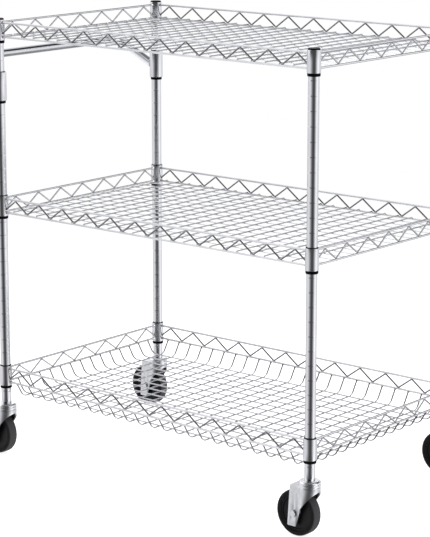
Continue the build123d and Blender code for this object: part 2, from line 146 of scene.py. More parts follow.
def surface(name, shade, light, patch, smooth, rough, grain, depth, stretch=(1, 1, 1)):
    """Finish whose tone drifts in patches between two colours, with a fine grain in its gloss and relief."""
    noise_low = 0.3              # nearly all of a noise lies between these two
    noise_high = 0.7
    relief_strength = 0.5
    made = bpy.data.materials.new(name)
    made.use_nodes = True
    nodes = made.node_tree.nodes
    link = made.node_tree.links.new
    shader = nodes["Principled BSDF"]
    where = nodes.new("ShaderNodeTexCoord")
    drawn = nodes.new("ShaderNodeMapping")
    drawn.inputs["Scale"].default_value = stretch
    link(where.outputs["Object"], drawn.inputs["Vector"])
    clouds = nodes.new("ShaderNodeTexNoise")
    clouds.inputs["Scale"].default_value = 1 / (patch * MM)
    clouds.inputs["Detail"].default_value = 3
    link(where.outputs["Object"], clouds.inputs["Vector"])
    tones = nodes.new("ShaderNodeValToRGB")
    tones.color_ramp.elements[0].position = noise_low
    tones.color_ramp.elements[0].color = shade
    tones.color_ramp.elements[1].position = noise_high
    tones.color_ramp.elements[1].color = light
    link(clouds.outputs["Fac"], tones.inputs["Fac"])
    link(tones.outputs["Color"], shader.inputs["Base Color"])
    grit = nodes.new("ShaderNodeTexNoise")
    grit.inputs["Scale"].default_value = 1 / (grain * MM)
    grit.inputs["Detail"].default_value = 4
    link(drawn.outputs["Vector"], grit.inputs["Vector"])
    gloss = nodes.new("ShaderNodeMapRange")
    gloss.inputs["From Min"].default_value = noise_low
    gloss.inputs["From Max"].default_value = noise_high
    gloss.inputs["To Min"].default_value = smooth
    gloss.inputs["To Max"].default_value = rough
    link(grit.outputs["Fac"], gloss.inputs["Value"])
    link(gloss.outputs["Result"], shader.inputs["Roughness"])
    relief = nodes.new("ShaderNodeBump")
    relief.inputs["Strength"].default_value = relief_strength
    relief.inputs["Distance"].default_value = depth * MM
    link(grit.outputs["Fac"], relief.inputs["Height"])
    link(relief.outputs["Normal"], shader.inputs["Normal"])
    return made


def metal(name, shade, light, **texture):
    """Finish of bare or plated metal."""
    made = surface(name, shade, light, **texture)
    made.node_tree.nodes["Principled BSDF"].inputs["Metallic"].default_value = 1.0
    return made


# the polish runs along the tube, so its grain is drawn out in height
POST_CHROME = metal(
    "post_chrome_plate", CHROME_SHADE, CHROME_LIGHT,
    patch=40, smooth=0.07, rough=0.16, grain=1.2, depth=0.01, stretch=(1, 1, 0.04),
)
post_low, post_high = node_box("post_front_left")
sleeve_low, sleeve_high = node_box("bottom_basket_sleeves")
groove_z = sleeve_low.z + SLEEVE_BEAD
while groove_z - GROOVE_PITCH > post_low.z + POST_END_LAND:
    groove_z -= GROOVE_PITCH
wall = [(POST_BORE, post_low.z, 0), (POST_RADIUS, post_low.z, POST_EDGE)]
while groove_z < post_high.z - POST_END_LAND:
    wall.append((POST_RADIUS, groove_z - GROOVE_HALF_WIDTH, GROOVE_LIP_ROUND))
    wall.append((POST_RADIUS - GROOVE_DEPTH, groove_z, GROOVE_FLOOR_ROUND))
    wall.append((POST_RADIUS, groove_z + GROOVE_HALF_WIDTH, GROOVE_LIP_ROUND))
    groove_z += GROOVE_PITCH
wall += [(POST_RADIUS, post_high.z, POST_EDGE), (POST_BORE, post_high.z, 0)]
post_shape = bmesh.new()
turn(post_shape, outline(*wall, steps=3))
post_mesh = finished(post_shape, "grooved_post", POST_CHROME)
joints = {joint["name"]: Vector(joint["pos_m"]) / MM for joint in frame["joints"]}
CORNERS = ("front_left", "rear_left", "front_right", "rear_right")
POSTS = {corner: joints[f"{corner}_swivel_turn"] for corner in CORNERS}
for corner, foot in POSTS.items():
    fit(post_mesh, f"post_{corner}", "cart", (foot.x, foot.y, 0))

# Caster stems: a turned plug pressed up into the post, on a pressed upper race that the post stands on.
# The kingpin below it carries the swivelling fork and is riveted over inside it. Zinc-plated steel.
STEM_LENGTH = 26.0
STEM_TIP_ROUND = 1.2
PLUG_PLAY = 0.05
RACE_RADIUS = 19.2
RACE_GAP = 0.3               # running gap between the two races
RACE_SHOULDER = 16.6
SHOULDER_ROUND = 2.0
UPPER_RACE_EDGE = 3.6
UPPER_RACE_ROUND = 1.6
RACE_FOOT_ROUND = 0.5
RACE_SEGMENTS = 64
KINGPIN_RADIUS = 6.0
RIVET_RADIUS = 9.0
RIVET_HEIGHT = 2.5
RIVET_EDGE = 0.3
RIVET_ROUND = 1.4
ZINC_SHADE = (0.70, 0.705, 0.72, 1.0)
ZINC_LIGHT = (0.82, 0.825, 0.84, 1.0)
ZINC_BRIGHT = (0.90, 0.905, 0.92, 1.0)
RACE_ZINC = metal(
    "bright_zinc_plate", ZINC_LIGHT, ZINC_BRIGHT,
    patch=9, smooth=0.20, rough=0.30, grain=0.8, depth=0.01,
)
stem_low, stem_high = node_box("front_left_caster_stem")
lower_race_low, lower_race_high = node_box("front_left_caster_lower_race")
stem_foot = stem_high.z - STEM_LENGTH
race_under = lower_race_high.z + RACE_GAP
rivet_top = stem_low.z + RIVET_HEIGHT
stem_shape = bmesh.new()
stem_outline = outline(
    (0, stem_high.z, 0),
    (POST_BORE - PLUG_PLAY, stem_high.z, STEM_TIP_ROUND),
    (POST_BORE - PLUG_PLAY, stem_foot, 0),
    (RACE_SHOULDER, stem_foot, SHOULDER_ROUND),
    (RACE_RADIUS, race_under + UPPER_RACE_EDGE, UPPER_RACE_ROUND),
    (RACE_RADIUS, race_under, RACE_FOOT_ROUND),
    (KINGPIN_RADIUS, race_under, 0),
    (KINGPIN_RADIUS, rivet_top, 0),
    (RIVET_RADIUS, rivet_top, RIVET_EDGE),
    (RIVET_RADIUS, stem_low.z, RIVET_ROUND),
    (0, stem_low.z, 0),
)
turn(stem_shape, stem_outline, segments=RACE_SEGMENTS)
stem_mesh = finished(stem_shape, "caster_stem", RACE_ZINC)
for corner, foot in POSTS.items():
    fit(stem_mesh, f"{corner}_caster_stem", "cart", (foot.x, foot.y, 0))

# Lower races: pressed rings seated on the roof of each fork, which run on the balls under the upper race.
# The same bright zinc-plated steel, with a rolled outer edge.
LOWER_RACE_BORE = 6.05
ROLLED_EDGE = 1.1
lower_race_shape = bmesh.new()
lower_race_outline = outline(
    (LOWER_RACE_BORE, lower_race_low.z, 0),
    (RACE_RADIUS, lower_race_low.z, RACE_FOOT_ROUND),
    (RACE_RADIUS, lower_race_high.z, ROLLED_EDGE),
    (LOWER_RACE_BORE, lower_race_high.z, 0),
)
turn(lower_race_shape, lower_race_outline, segments=RACE_SEGMENTS)
lower_race_mesh = finished(lower_race_shape, "caster_lower_race", RACE_ZINC)
for corner, foot in POSTS.items():
    node = f"{corner}_caster_lower_race"
    fit(lower_race_mesh, node, f"{corner}_swivel", (foot.x, foot.y, 0))

# Caster forks: one stamping of satin zinc-plated sheet, with a round nose about the kingpin, two flat legs
# that trail behind it and hold the axle, and a rolled edge round the roof.
TRAIL = POSTS["front_left"].x - joints["front_left_wheel_spin"].x
AXLE_Z = joints["front_left_wheel_spin"].z
ROOF_TOP = lower_race_low.z
SHEET = 2.3
FORK_HALF_WIDTH = 14.0
NOSE_RADIUS = 19.0
ROOF_ROUND = 2.2
LEG_BELOW_AXLE = 22.8
LEG_AHEAD = 13.9
LEG_TIP_WIDTH = 18.1
LEG_LEAN = 4.6
LEG_TIP_ROUND = 2.2
KNEE_AHEAD = 13.5            # knee of the lower edge, ahead of the axle and above it
KNEE_ABOVE = 9.5
KNEE_ROUND = 18.0
NOSE_SKIRT = 8.5
NOSE_FILLET = 3.0            # hollow where a leg runs into the nose
NOSE_STEP = math.radians(5)
FORK_EDGE = 0.35
EDGE_STEPS = 8
HOLLOW_STEPS = 5
ROOF_STEPS = 5
SHARP_EDGE = math.radians(50)
FORK_ZINC = metal(
    "satin_zinc_plate", ZINC_SHADE, ZINC_LIGHT,
    patch=6, smooth=0.26, rough=0.38, grain=0.6, depth=0.02,
)

# lower edge of the sheet, seen from the side: leg tip, rear edge of the leg, knee and nose
tip_x = -TRAIL - LEG_AHEAD
tip_z = AXLE_Z - LEG_BELOW_AXLE
tail_x = tip_x + LEG_LEAN
side_corners = [
    (Vector((tail_x, 0, ROOF_TOP)), 0),
    (Vector((tip_x, 0, tip_z)), LEG_TIP_ROUND),
    (Vector((tip_x + LEG_TIP_WIDTH, 0, tip_z)), LEG_TIP_ROUND),
    (Vector((KNEE_AHEAD - TRAIL, 0, AXLE_Z + KNEE_ABOVE)), KNEE_ROUND),
    (Vector((NOSE_RADIUS, 0, ROOF_TOP - NOSE_SKIRT)), 0),
]
side_edge = rounded(side_corners, False, EDGE_STEPS)[1:]


def edge_height(x):
    """Height of the sheet's lower edge ahead of the leg's tip."""
    for near, far in zip(side_edge, side_edge[1:]):
        if near.x <= x <= far.x:
            return near.z + (far.z - near.z) * (x - near.x) / (far.x - near.x)
    return side_edge[-1].z


# columns of the sheet from a leg's tail to the nose: place in plan, way out and foot of each one
hollow_angle = math.pi + math.asin(FORK_HALF_WIDTH / NOSE_RADIUS)
hollow = Vector((NOSE_RADIUS * math.cos(hollow_angle), -FORK_HALF_WIDTH, 0))
hollow_start = hollow - Vector((NOSE_FILLET, 0, 0))
leg_feet = [point for point in side_edge if point.x < hollow_start.x]
columns = []
for place, foot in enumerate(leg_feet):
    share = place / len(leg_feet)
    top = Vector((tail_x + (hollow_start.x - tail_x) * share, -FORK_HALF_WIDTH, 0))
    columns.append((top, Vector((0, -1, 0)), Vector((foot.x, -FORK_HALF_WIDTH, foot.z))))
first_angle = hollow_angle + NOSE_FILLET / NOSE_RADIUS
first_round = Vector((math.cos(first_angle), math.sin(first_angle), 0))
for step in range(HOLLOW_STEPS):
    share = step / HOLLOW_STEPS
    near = hollow_start.lerp(hollow, share)
    far = hollow.lerp(first_round * NOSE_RADIUS, share)
    point = near.lerp(far, share)
    out = Vector((0, -1, 0)).lerp(first_round, share).normalized()
    columns.append((point, out, Vector((point.x, point.y, edge_height(point.x)))))
nose_count = round((math.tau - first_angle) / NOSE_STEP)
for step in range(nose_count + 1):
    angle = first_angle + (math.tau - first_angle) * step / nose_count
    out = Vector((math.cos(angle), math.sin(angle), 0))
    point = out * NOSE_RADIUS
    columns.append((point, out, Vector((point.x, point.y, edge_height(point.x)))))
mirror = Matrix.Diagonal((1, -1, 1))
columns += [tuple(mirror @ part for part in column) for column in reversed(columns[:-1])]

fork_shape = bmesh.new()
sheet_rows = []
for top, out, foot in columns:
    row = [fork_shape.verts.new(foot)]
    for step in range(ROOF_STEPS + 1):
        bend = math.pi / 2 * step / ROOF_STEPS
        inset = ROOF_ROUND * (1 - math.cos(bend))
        height = ROOF_TOP - ROOF_ROUND * (1 - math.sin(bend))
        row.append(fork_shape.verts.new(top - out * inset + Vector((0, 0, height))))
    sheet_rows.append(row)
for row, after in zip(sheet_rows, sheet_rows[1:]):
    for place in range(len(row) - 1):
        fork_shape.faces.new((row[place], after[place], after[place + 1], row[place + 1]))
middle = len(columns) // 2
for place in range(middle):
    near = [sheet_rows[place][-1], sheet_rows[place + 1][-1]]
    far = [sheet_rows[-place - 2][-1], sheet_rows[-place - 1][-1]]
    corners = near + [vert for vert in far if vert not in near]
    fork_shape.faces.new(corners)
fork_sheet = finished(fork_shape, "fork_sheet", FORK_ZINC)


def drilled(mesh, name, cutters, thickness, edge):
    """Gives a sheet its thickness, drills it and breaks its edges, as a mesh of its own."""
    blank = bpy.data.objects.new("blank", mesh)
    bpy.context.scene.collection.objects.link(blank)
    body = blank.modifiers.new("sheet", "SOLIDIFY")
    body.thickness = thickness * MM
    body.offset = -1
    body.use_even_offset = True
    for cutter in cutters:
        hole = blank.modifiers.new("hole", "BOOLEAN")
        hole.operation = "DIFFERENCE"
        hole.solver = "EXACT"
        hole.object = cutter
    broken = blank.modifiers.new("edge", "BEVEL")
    broken.width = edge * MM
    broken.segments = 2
    broken.limit_method = "ANGLE"
    broken.angle_limit = SHARP_EDGE
    worked = blank.evaluated_get(bpy.context.evaluated_depsgraph_get())
    result = bpy.data.meshes.new_from_object(worked)
    result.name = name
    result.set_sharp_from_angle(angle=SHARP_EDGE)
    for spare in [blank, *cutters]:
        bpy.data.objects.remove(spare)
    return result


def drill(name, radius, low, high, lay):
    """Round cutter for a hole."""
    shape = bmesh.new()
    profile = outline((0, low, 0), (radius, low, 0), (radius, high, 0), (0, high, 0))
    turn(shape, profile, lay, AXLE_SEGMENTS)
    cutter = bpy.data.objects.new(name, finished(shape, name, FORK_ZINC))
    bpy.context.scene.collection.objects.link(cutter)
    return cutter


AXLE_RADIUS = 3.0
AXLE_SEGMENTS = 32
HOLE_PLAY = 0.05
ALONG_Y = Matrix.Rotation(-math.pi / 2, 4, "X")
axle_lay = Matrix.Translation((-TRAIL, 0, AXLE_Z)) @ ALONG_Y
kingpin_hole = KINGPIN_RADIUS + HOLE_PLAY
kingpin_drill = drill("kingpin_hole", kingpin_hole, ROOF_TOP - 2 * SHEET, ROOF_TOP + SHEET, Matrix())
axle_hole = AXLE_RADIUS + HOLE_PLAY
axle_drill = drill("axle_hole", axle_hole, -2 * FORK_HALF_WIDTH, 2 * FORK_HALF_WIDTH, axle_lay)
fork_mesh = drilled(fork_sheet, "caster_fork", [kingpin_drill, axle_drill], SHEET, FORK_EDGE)
for corner, foot in POSTS.items():
    fit(fork_mesh, f"{corner}_caster_fork", f"{corner}_swivel", (foot.x, foot.y, 0))

# Axle bolts and nuts: a hexagon bolt through both legs of a fork, with its head at the front and a nut
# behind. Cold-formed, zinc-plated steel with the corners chamfered.
ACROSS_FLATS = 11.0
HEAD_HEIGHT = 3.6
NUT_HEIGHT = 4.0
CHAMFER_FLAT = 0.94          # share of the width left flat by the chamfer
CHAMFER_SLOPE = math.tan(math.radians(30))
HEX_SIDE = math.tau / 6
HEX_SEGMENTS = 72
HEX_CREASE = 20
SHANK_ROUND = 0.6
BOLT_ZINC = metal(
    "bolt_zinc_plate", ZINC_SHADE, ZINC_LIGHT,
    patch=5, smooth=0.2, rough=0.34, grain=0.4, depth=0.02,
)


def hexagon(shape, height, bore, lay):
    """Hexagon that stands on Z zero, chamfered on top, with a bore or a solid middle."""
    sections = []
    for index in range(HEX_SEGMENTS):
        angle = math.tau * index / HEX_SEGMENTS
        off_flat = (angle + HEX_SIDE / 2) % HEX_SIDE - HEX_SIDE / 2
        reach = ACROSS_FLATS / 2 / math.cos(off_flat)
        flat = ACROSS_FLATS / 2 * CHAMFER_FLAT
        brow = height - (reach - flat) * CHAMFER_SLOPE
        section = [(bore, 0), (reach, 0), (reach, brow), (flat, height), (bore, height)]
        spin = lay @ Matrix.Rotation(angle, 4, "Z")
        sections.append([spin @ Vector((radius, 0, z)) for radius, z in section])
    skin(shape, sections, True)


bolt_shape = bmesh.new()
head_lay = Matrix.Translation((0, -FORK_HALF_WIDTH, 0)) @ Matrix.Rotation(math.pi / 2, 4, "X")
hexagon(bolt_shape, HEAD_HEIGHT, 0, head_lay)
shank_end = FORK_HALF_WIDTH + NUT_HEIGHT
shank_outline = outline(
    (0, -FORK_HALF_WIDTH, 0),
    (AXLE_RADIUS, -FORK_HALF_WIDTH, 0),
    (AXLE_RADIUS, shank_end, SHANK_ROUND),
    (0, shank_end, 0),
)
turn(bolt_shape, shank_outline, ALONG_Y, AXLE_SEGMENTS)
bolt_mesh = finished(bolt_shape, "axle_bolt", BOLT_ZINC, HEX_CREASE)
nut_shape = bmesh.new()
nut_lay = Matrix.Translation((0, FORK_HALF_WIDTH, 0)) @ ALONG_Y
hexagon(nut_shape, NUT_HEIGHT, axle_hole, nut_lay)
nut_mesh = finished(nut_shape, "axle_nut", BOLT_ZINC, HEX_CREASE)
AXLES = {corner: joints[f"{corner}_wheel_spin"] for corner in CORNERS}
for corner, axle in AXLES.items():
    fit(bolt_mesh, f"{corner}_caster_axle_bolt", f"{corner}_swivel", axle)
    fit(nut_mesh, f"{corner}_caster_axle_nut", f"{corner}_swivel", axle)

# Wheel cores: black plastic moulded in one piece, with a hub that runs on the axle bolt, a dished web and
# a rim that carries the tyre. The hub fills the fork, with a little play on both sides.
CORE_RADIUS = 33.2
CORE_EDGE = 0.4
HUB_RADIUS = 9.0
HUB_PLAY = 0.4
HUB_HALF = FORK_HALF_WIDTH - SHEET - HUB_PLAY
HUB_ROUND = 0.8
HUB_BORE_EDGE = 0.2
RIM_HALF = 8.0
RIM_INNER = 29.0
RIM_ROUND = 0.9
WEB_HALF = 6.25
WEB_ROUND = 1.2
DRAFT = 0.8                  # how far hub and rim widen towards the web, to leave the mould
WHEEL_SEGMENTS = 72
WHEEL_SHADE = (0.003, 0.003, 0.004, 1)
WHEEL_LIGHT = (0.005, 0.005, 0.006, 1)


def moulded(name, shade, light, shine, **texture):
    """Finish of a moulded piece, with less shine than bare plastic."""
    made = surface(name, shade, light, **texture)
    made.node_tree.nodes["Principled BSDF"].inputs["Specular IOR Level"].default_value = shine
    return made


WHEEL_BLACK = moulded(
    "wheel_black_plastic", WHEEL_SHADE, WHEEL_LIGHT, shine=0.22,
    patch=12, smooth=0.28, rough=0.40, grain=0.35, depth=0.02,
)
core_half = [
    (axle_hole, HUB_HALF, HUB_BORE_EDGE),
    (HUB_RADIUS, HUB_HALF, HUB_ROUND),
    (HUB_RADIUS + DRAFT, WEB_HALF, WEB_ROUND),
    (RIM_INNER - DRAFT, WEB_HALF, WEB_ROUND),
    (RIM_INNER, RIM_HALF, RIM_ROUND),
    (CORE_RADIUS, RIM_HALF, CORE_EDGE),
]
core_shape = bmesh.new()
core_back = [(radius, -half, edge) for radius, half, edge in reversed(core_half)]
turn(core_shape, outline(*core_half, *core_back), ALONG_Y, WHEEL_SEGMENTS)
core_mesh = finished(core_shape, "wheel_core", WHEEL_BLACK)
for corner, axle in AXLES.items():
    fit(core_mesh, f"{corner}_caster_wheel_core", f"{corner}_wheel", axle)

# Tyres: solid bands of dark rubber, moulded round the cores. The tread is slightly crowned, has round
# shoulders and is painted greyer than the sides, a painted sheen for the light the tread catches.
TYRE_INNER = 33.25
TYRE_INNER_ROUND = 0.5
TYRE_HALF = 10.5
TYRE_SIDE = 38.4
TYRE_SIDE_ROUND = 1.5
TREAD_HALF = 8.2
TREAD_EDGE_ROUND = 1.8
TREAD_RADIUS = 41.25
TREAD_CROWN = 0.35
CROWN_ROUND = 40
TYRE_SEGMENTS = 96
TYRE_SHADE = (0.006, 0.006, 0.007, 1)
TYRE_LIGHT = (0.011, 0.011, 0.012, 1)
TREAD_PAINTED_SHEEN = (0.055, 0.055, 0.057, 1)
TYRE_RUBBER = moulded(
    "tyre_rubber", TYRE_SHADE, TYRE_LIGHT, shine=0.14,
    patch=16, smooth=0.5, rough=0.68, grain=0.5, depth=0.03,
)


def toned(finish, reading, axis, start, full, tone):
    """Passes to another tone as the place or the normal of a surface, read along an axis, nears full."""
    colour_a = 6                 # sockets of a mixing node that mixes colours
    colour_b = 7
    colour_mixed = 2
    nodes = finish.node_tree.nodes
    link = finish.node_tree.links.new
    place = nodes.new("ShaderNodeSeparateXYZ")
    link(nodes["Texture Coordinate"].outputs[reading], place.inputs["Vector"])
    distance = nodes.new("ShaderNodeMath")
    distance.operation = "ABSOLUTE"
    link(place.outputs[axis], distance.inputs[0])
    share = nodes.new("ShaderNodeMapRange")
    share.interpolation_type = "SMOOTHSTEP"
    share.inputs["From Min"].default_value = start
    share.inputs["From Max"].default_value = full
    link(distance.outputs["Value"], share.inputs["Value"])
    mixed = nodes.new("ShaderNodeMix")
    mixed.data_type = "RGBA"
    link(share.outputs["Result"], mixed.inputs["Factor"])
    link(nodes["Color Ramp"].outputs["Color"], mixed.inputs[colour_a])
    mixed.inputs[colour_b].default_value = tone
    link(mixed.outputs[colour_mixed], nodes["Principled BSDF"].inputs["Base Color"])


# painted sheen: the tread's painted grey ends at the shoulders
toned(TYRE_RUBBER, "Object", "Y", TYRE_HALF * MM, TREAD_HALF * MM, TREAD_PAINTED_SHEEN)
tyre_half = [
    (TYRE_INNER, TYRE_HALF, TYRE_INNER_ROUND),
    (TYRE_SIDE, TYRE_HALF, TYRE_SIDE_ROUND),
    (TREAD_RADIUS - TREAD_CROWN, TREAD_HALF, TREAD_EDGE_ROUND),
]
tyre_back = [(radius, -half, edge) for radius, half, edge in reversed(tyre_half)]
tyre_outline = outline(*tyre_half, (TREAD_RADIUS, 0, CROWN_ROUND), *tyre_back, steps=6)
tyre_shape = bmesh.new()
turn(tyre_shape, tyre_outline, ALONG_Y, TYRE_SEGMENTS)
tyre_mesh = finished(tyre_shape, "tyre", TYRE_RUBBER)
for corner, axle in AXLES.items():
    fit(tyre_mesh, f"{corner}_caster_tyre", f"{corner}_wheel", axle)

# Sleeves: two half shells of black plastic clipped round each post, with an inner bead that sits in one of
# its grooves. They taper upwards, so a collar dropped over them jams, and their foot shows below it as a
# black ring.
SLEEVE_FOOT = 11.1
SLEEVE_FOOT_ROUND = 0.6
SLEEVE_HEAD = 10.7
SLEEVE_HEAD_ROUND = 0.25
SLEEVE_TAPER = 12.0
SLEEVE_LIP = 5.4
SLEEVE_PLAY = 0.05
SLEEVE_BORE = POST_RADIUS + SLEEVE_PLAY
BORE_FOOT_ROUND = 0.2
BORE_HEAD_ROUND = 0.15
BEAD_ROUND = 0.3
SLEEVE_SLIT = math.radians(4)
SLEEVE_SEGMENTS = 24
PLASTIC_SHADE = (0.002, 0.002, 0.003, 1)
PLASTIC_LIGHT = (0.004, 0.004, 0.005, 1)
BLACK_PLASTIC = moulded(
    "black_moulded_plastic", PLASTIC_SHADE, PLASTIC_LIGHT, shine=0.05,
    patch=8, smooth=0.34, rough=0.5, grain=0.3, depth=0.02,
)


def sleeve_mesh(name, posts, height, bead):
    """Split sleeves on these posts, standing on Z zero, with their bead at this height."""
    profile = outline(
        (SLEEVE_BORE, 0, BORE_FOOT_ROUND),
        (SLEEVE_BORE, bead - GROOVE_HALF_WIDTH, 0),
        (SLEEVE_BORE - GROOVE_DEPTH, bead, BEAD_ROUND),
        (SLEEVE_BORE, bead + GROOVE_HALF_WIDTH, 0),
        (SLEEVE_BORE, height, BORE_HEAD_ROUND),
        (SLEEVE_HEAD, height, SLEEVE_HEAD_ROUND),
        (SLEEVE_HEAD, SLEEVE_LIP + SLEEVE_TAPER, 0),
        (SLEEVE_FOOT, SLEEVE_LIP, 0),
        (SLEEVE_FOOT, 0, SLEEVE_FOOT_ROUND),
    )
    half_turn = math.pi - SLEEVE_SLIT
    shape = bmesh.new()
    for foot in posts:
        lay = Matrix.Translation((foot.x, foot.y, 0))
        for side in range(2):
            turn(shape, profile, lay, SLEEVE_SEGMENTS, side * math.pi + SLEEVE_SLIT / 2, half_turn)
    return finished(shape, name, BLACK_PLASTIC)


SHELVES = ("bottom_basket", "middle_shelf", "top_shelf")
SEATS = {shelf: node_box(f"{shelf}_sleeves")[0].z for shelf in SHELVES}
sleeve_height = sleeve_high.z - sleeve_low.z
shelf_sleeves = sleeve_mesh("shelf_sleeves", POSTS.values(), sleeve_height, SLEEVE_BEAD)
for shelf, seat in SEATS.items():
    fit(shelf_sleeves, f"{shelf}_sleeves", "cart", (0, 0, seat))

# Collars: chromed steel tubes at the corners of each shelf, jammed down on the sleeves by the load.
# The rim wires of the shelf are welded to them.
COLLAR_RADIUS = 11.8
COLLAR_EDGE = 0.5
COLLAR_BORE_EDGE = 0.2
COLLAR_PLAY = 0.05
COLLAR_CHROME = metal(
    "collar_chrome_plate", CHROME_SHADE, CHROME_LIGHT,
    patch=25, smooth=0.08, rough=0.18, grain=0.9, depth=0.01,
)


def collar_mesh(name, posts, radius, height):
    """Collars on these posts, standing on Z zero, with a cone in the bore that fits the sleeve's."""
    profile = outline(
        (SLEEVE_FOOT + COLLAR_PLAY, 0, 0),
        (radius, 0, COLLAR_EDGE),
        (radius, height, COLLAR_EDGE),
        (SLEEVE_HEAD + COLLAR_PLAY, height, COLLAR_BORE_EDGE),
        (SLEEVE_HEAD + COLLAR_PLAY, SLEEVE_TAPER, 0),
    )
    shape = bmesh.new()
    for foot in posts:
        turn(shape, profile, Matrix.Translation((foot.x, foot.y, 0)))
    return finished(shape, name, COLLAR_CHROME)


collar_low, collar_high = node_box("bottom_basket_collars")
collar_height = collar_high.z - collar_low.z
shelf_collars = collar_mesh("shelf_collars", POSTS.values(), COLLAR_RADIUS, collar_height)
for shelf, seat in SEATS.items():
    fit(shelf_collars, f"{shelf}_collars", "cart", (0, 0, seat + SLEEVE_LIP))

# Rim wires: straight lengths of chromed wire from collar to collar, one above the other on all four sides.
# Each end is welded to its collar and swells a little into the weld.
RIM_RADIUS = 2.0
RIM_SIDES = 14
WELD_SINK = 0.5              # how far a welded wire runs into what it is welded to
# a wire's end: distance from the end and swelling there, both as shares of the wire's radius
WELDED = ((0, 1.5), (0.5, 1.42), (1.1, 1.16), (2.0, 1.0))
RIM_SHADE = (0.60, 0.605, 0.615, 1)
RIM_LIGHT = (0.68, 0.68, 0.69, 1)
RIM_PAINTED_SHEEN = (0.92, 0.92, 0.93, 1)
RIM_SHEEN_START = 0.3         # share of a surface's normal along X, where the painted sheen on its side begins
RIM_SHEEN_FULL = 0.8


def wire_plate(name, shade, light, smooth=0.03, rough=0.08, depth=0.006):
    """Bright chrome of a drawn wire."""
    return metal(name, shade, light, patch=30, smooth=smooth, rough=rough, grain=1.5, depth=depth)


RIM_CHROME = wire_plate("rim_chrome_plate", RIM_SHADE, RIM_LIGHT)
# painted sheen: the wires of the two ends are painted brighter on their sides, where the surface faces along
# X
toned(RIM_CHROME, "Normal", "X", RIM_SHEEN_START, RIM_SHEEN_FULL, RIM_PAINTED_SHEEN)


def draw_wire(shape, line, radius, across, end, sides):
    """Draws a round wire along a line that lies in the plane square to across, and shapes both ends."""
    stations = []
    for place, point in enumerate(line):
        way = line[min(place + 1, len(line) - 1)] - line[max(place - 1, 0)]
        stations.append((point, way.normalized(), 1.0))
    start, ahead = line[0], stations[0][1]
    finish, behind = line[-1], stations[-1][1]
    first = [(start + ahead * reach * radius, ahead, swell) for reach, swell in end]
    last = [(finish - behind * reach * radius, behind, swell) for reach, swell in reversed(end)]
    sections = []
    for point, way, swell in first + stations[1:-1] + last:
        beside = way.cross(across)
        section = []
        for side in range(sides):
            angle = math.tau * side / sides
            spoke = across * math.cos(angle) + beside * math.sin(angle)
            section.append(point + spoke * radius * swell)
        sections.append(section)
    skin(shape, sections, False)


LONG = Vector((1, 0, 0))
SHORT = Vector((0, 1, 0))
rim_low, rim_high = node_box("bottom_basket_rim_wires")
LOW_RIM = rim_low.z + RIM_RADIUS
HIGH_RIM = rim_high.z - RIM_RADIUS
LEFT = POSTS["front_left"].x
RIGHT = POSTS["front_right"].x
FRONT = POSTS["front_left"].y
REAR = POSTS["rear_left"].y
WELD_REACH = COLLAR_RADIUS - WELD_SINK
rim_shape = bmesh.new()
for z in (LOW_RIM, HIGH_RIM):
    for y in (FRONT, REAR):
        ends = [Vector((LEFT + WELD_REACH, y, z)), Vector((RIGHT - WELD_REACH, y, z))]
        draw_wire(rim_shape, ends, RIM_RADIUS, SHORT, WELDED, RIM_SIDES)
    for x in (LEFT, RIGHT):
        ends = [Vector((x, FRONT + WELD_REACH, z)), Vector((x, REAR - WELD_REACH, z))]
        draw_wire(rim_shape, ends, RIM_RADIUS, LONG, WELDED, RIM_SIDES)
rim_mesh = finished(rim_shape, "rim_wires", RIM_CHROME)
RISES = {shelf: seat - SEATS["bottom_basket"] for shelf, seat in SEATS.items()}
for shelf, rise in RISES.items():
    fit(rim_mesh, f"{shelf}_rim_wires", "cart", (0, 0, rise))

# Truss wires: one length of thinner chromed wire on each side, bent to and fro between the two rim wires
# and welded to them at every bend. It stiffens the rim.
TRUSS_RADIUS = 1.5
TRUSS_BEND = 4.6
TRUSS_SINK = 0.25            # how far a bend is pressed into the rim wire by the weld
TRUSS_END = 0.4              # share of a pitch between the last peak and the collar
TRUSS_BEND_STEPS = 6
TRUSS_ROUNDS = 6
PEAKS_LONG = 12
PEAKS_SHORT = 7
THIN_SIDES = 12
MID_X = (LEFT + RIGHT) / 2
# painted shade: the truss is the same chrome as the rims, painted much darker for the dark its legs mirror
TRUSS_SHADE = (0.30, 0.305, 0.31, 1)
TRUSS_LIGHT = (0.38, 0.38, 0.39, 1)
TRUSS_PAINTED_SHEEN = (0.55, 0.55, 0.56, 1)
TRUSS_SHEEN_START = 0.75
TRUSS_SHEEN_FULL = 0.95
SHADED_TRUSS_CHROME = wire_plate("truss_painted_shade_plate", TRUSS_SHADE, TRUSS_LIGHT, smooth=0.02, rough=0.06)
# painted sheen: the sides of the end trusses, where the surface faces along X, are painted brighter
toned(SHADED_TRUSS_CHROME, "Normal", "X", TRUSS_SHEEN_START, TRUSS_SHEEN_FULL, TRUSS_PAINTED_SHEEN)


def truss_line(peaks, half_span):
    """Zigzag about zero as distance along the side and height, cut where it meets the collars."""
    reach = half_span - COLLAR_RADIUS
    half_pitch = reach / (peaks - 1 + 2 * TRUSS_END)
    touch = HIGH_RIM - LOW_RIM - 2 * (RIM_RADIUS + TRUSS_RADIUS - TRUSS_SINK)
    rise = touch
    # the round bends cut the peaks, by more the steeper the legs are, so the rise is settled in a few rounds
    for _ in range(TRUSS_ROUNDS):
        rise = touch + 2 * TRUSS_BEND * (math.hypot(rise, half_pitch) / half_pitch - 1)
    middle = (LOW_RIM + HIGH_RIM) / 2
    points = []
    for step in range(-peaks, peaks + 1):
        side = 1 if (step + peaks) % 2 else -1
        points.append(Vector((step * half_pitch, 0, middle + side * rise / 2)))
    cut = (reach + WELD_SINK - points[-2].x) / (points[-1].x - points[-2].x)
    points[0] = points[1].lerp(points[0], cut)
    points[-1] = points[-2].lerp(points[-1], cut)
    return rounded([(point, TRUSS_BEND) for point in points], False, TRUSS_BEND_STEPS)


